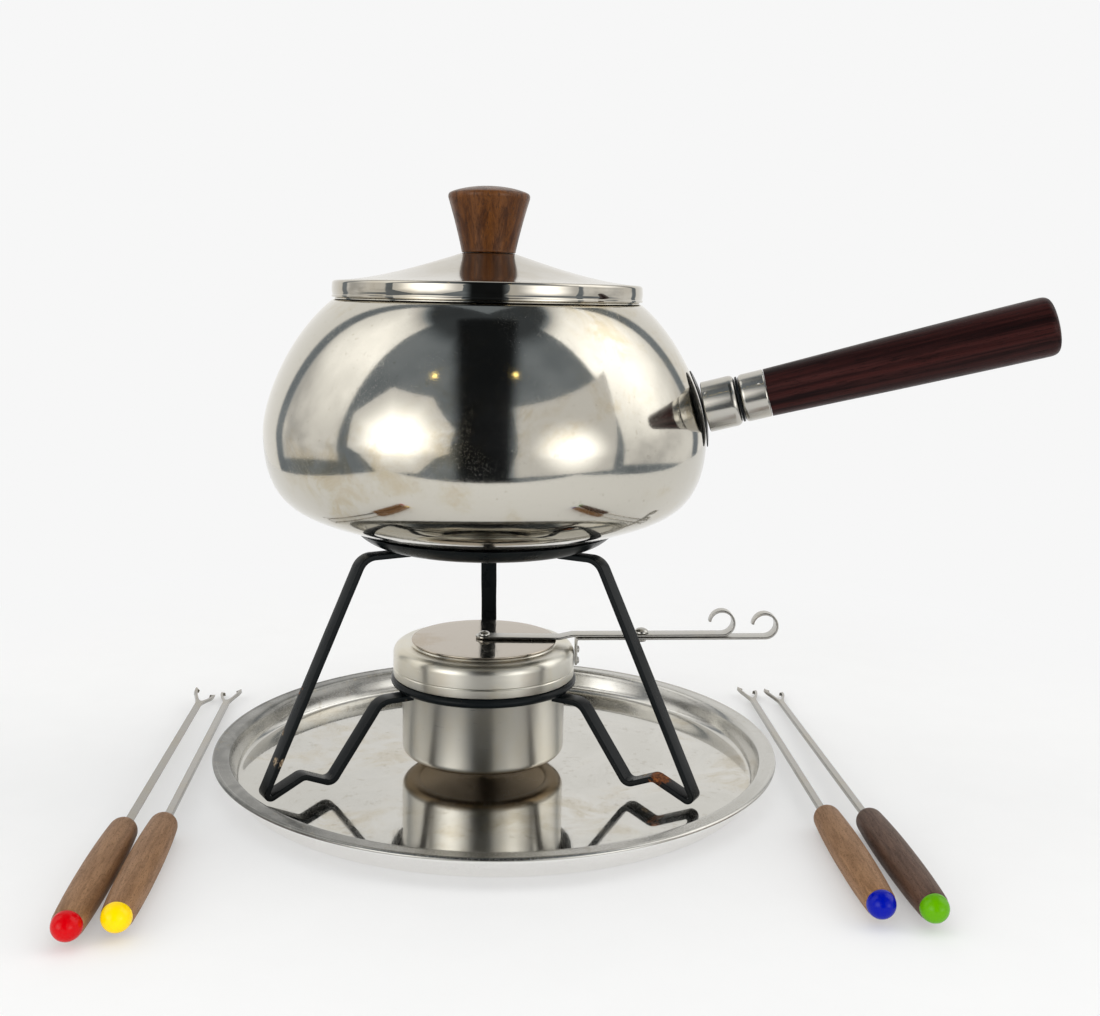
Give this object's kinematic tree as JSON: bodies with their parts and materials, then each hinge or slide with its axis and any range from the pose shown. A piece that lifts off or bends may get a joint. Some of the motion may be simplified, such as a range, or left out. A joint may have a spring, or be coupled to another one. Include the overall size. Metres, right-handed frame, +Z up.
{
  "type": "fondue pot set",
  "caption": "Round-bellied lidded fondue pot on a three-legged wire-strip stand with a spirit burner, swing-away snuffer, round tray and colour-tipped forks.",
  "frame": {"origin": "centre of the tray's flat underside, on the table", "axes": "+Z up; +X toward the pot's handle and the burner's finger curls; +Y away from the fork handles' coloured ends"},
  "size_m": [0.3986, 0.3105, 0.2686],
  "materials": {
    "polished_steel": "polished stainless steel, warm grey",
    "brushed_steel": "brushed stainless steel",
    "tray_steel": "bright stainless steel with light stains",
    "black_paint": "satin black paint, chipped",
    "rosewood": "satin dark red-brown rosewood",
    "knob_wood": "satin mid-brown wood",
    "teak": "matt oiled teak",
    "dark_teak": "matt dark teak",
    "cotton": "white fibre wadding",
    "ball_red": "gloss",
    "ball_yellow": "gloss",
    "ball_blue": "gloss",
    "ball_green": "gloss"
  },
  "bodies": {
    "tray": {"tray": "tray_steel"},
    "stand": {"stand_dish": "black_paint", "stand_leg_back": "black_paint", "stand_leg_left": "black_paint", "stand_leg_right": "black_paint", "burner_ring": "black_paint"},
    "pot": {"pot_body": "polished_steel", "handle_guard_plate": "black_paint", "handle_ferrule_inner": "brushed_steel", "handle_spacer": "black_paint", "handle_ferrule_outer": "brushed_steel", "handle_grip": "rosewood", "handle_rod": "brushed_steel"},
    "lid": {"lid_shell": "polished_steel", "lid_knob": "knob_wood", "knob_washer": "brushed_steel", "knob_screw": "brushed_steel"},
    "burner": {"burner_cup": "brushed_steel", "fuel_wadding": "cotton", "burner_gauze": "brushed_steel"},
    "burner_top": {"burner_cap": "brushed_steel", "carry_arm": "brushed_steel", "carry_arm_rivet_1": "brushed_steel", "carry_arm_rivet_2": "brushed_steel"},
    "snuffer": {"snuffer_arm": "brushed_steel", "snuffer_disc": "polished_steel", "snuffer_disc_rivet": "brushed_steel", "arm_pivot_rivet": "brushed_steel"},
    "fork_red": {"fork_red_handle": "teak", "fork_red_ball": "ball_red", "fork_red_shaft": "brushed_steel"},
    "fork_yellow": {"fork_yellow_handle": "teak", "fork_yellow_ball": "ball_yellow", "fork_yellow_shaft": "brushed_steel"},
    "fork_blue": {"fork_blue_handle": "teak", "fork_blue_ball": "ball_blue", "fork_blue_shaft": "brushed_steel"},
    "fork_green": {"fork_green_handle": "dark_teak", "fork_green_ball": "ball_green", "fork_green_shaft": "brushed_steel"}
  },
  "joints": [
    {"name": "stand_lift", "type": "slide", "parent": "tray", "child": "stand", "axis": [0, 0, 1], "range_m": [0, 0.05]},
    {"name": "pot_lift", "type": "slide", "parent": "stand", "child": "pot", "axis": [0, 0, 1], "range_m": [0, 0.08]},
    {"name": "lid_lift", "type": "slide", "parent": "pot", "child": "lid", "axis": [0, 0, 1], "range_m": [0, 0.06]},
    {"name": "burner_lift", "type": "slide", "parent": "stand", "child": "burner", "axis": [0, 0, 1], "range_m": [0, 0.018]},
    {"name": "burner_top_lift", "type": "slide", "parent": "burner", "child": "burner_top", "axis": [0, 0, 1], "range_m": [0, 0.012]},
    {"name": "snuffer_swing", "type": "hinge", "parent": "burner_top", "child": "snuffer", "pos_m": [0.0675, 0, 0.0645], "axis": [0, 0, 1], "range_deg": [0, 50]},
    {"name": "fork_red_lift", "type": "slide", "parent": "tray", "child": "fork_red", "axis": [0, 0, 1], "range_m": [0, 0.06]},
    {"name": "fork_yellow_lift", "type": "slide", "parent": "tray", "child": "fork_yellow", "axis": [0, 0, 1], "range_m": [0, 0.06]},
    {"name": "fork_blue_lift", "type": "slide", "parent": "tray", "child": "fork_blue", "axis": [0, 0, 1], "range_m": [0, 0.06]},
    {"name": "fork_green_lift", "type": "slide", "parent": "tray", "child": "fork_green", "axis": [0, 0, 1], "range_m": [0, 0.06]}
  ]
}
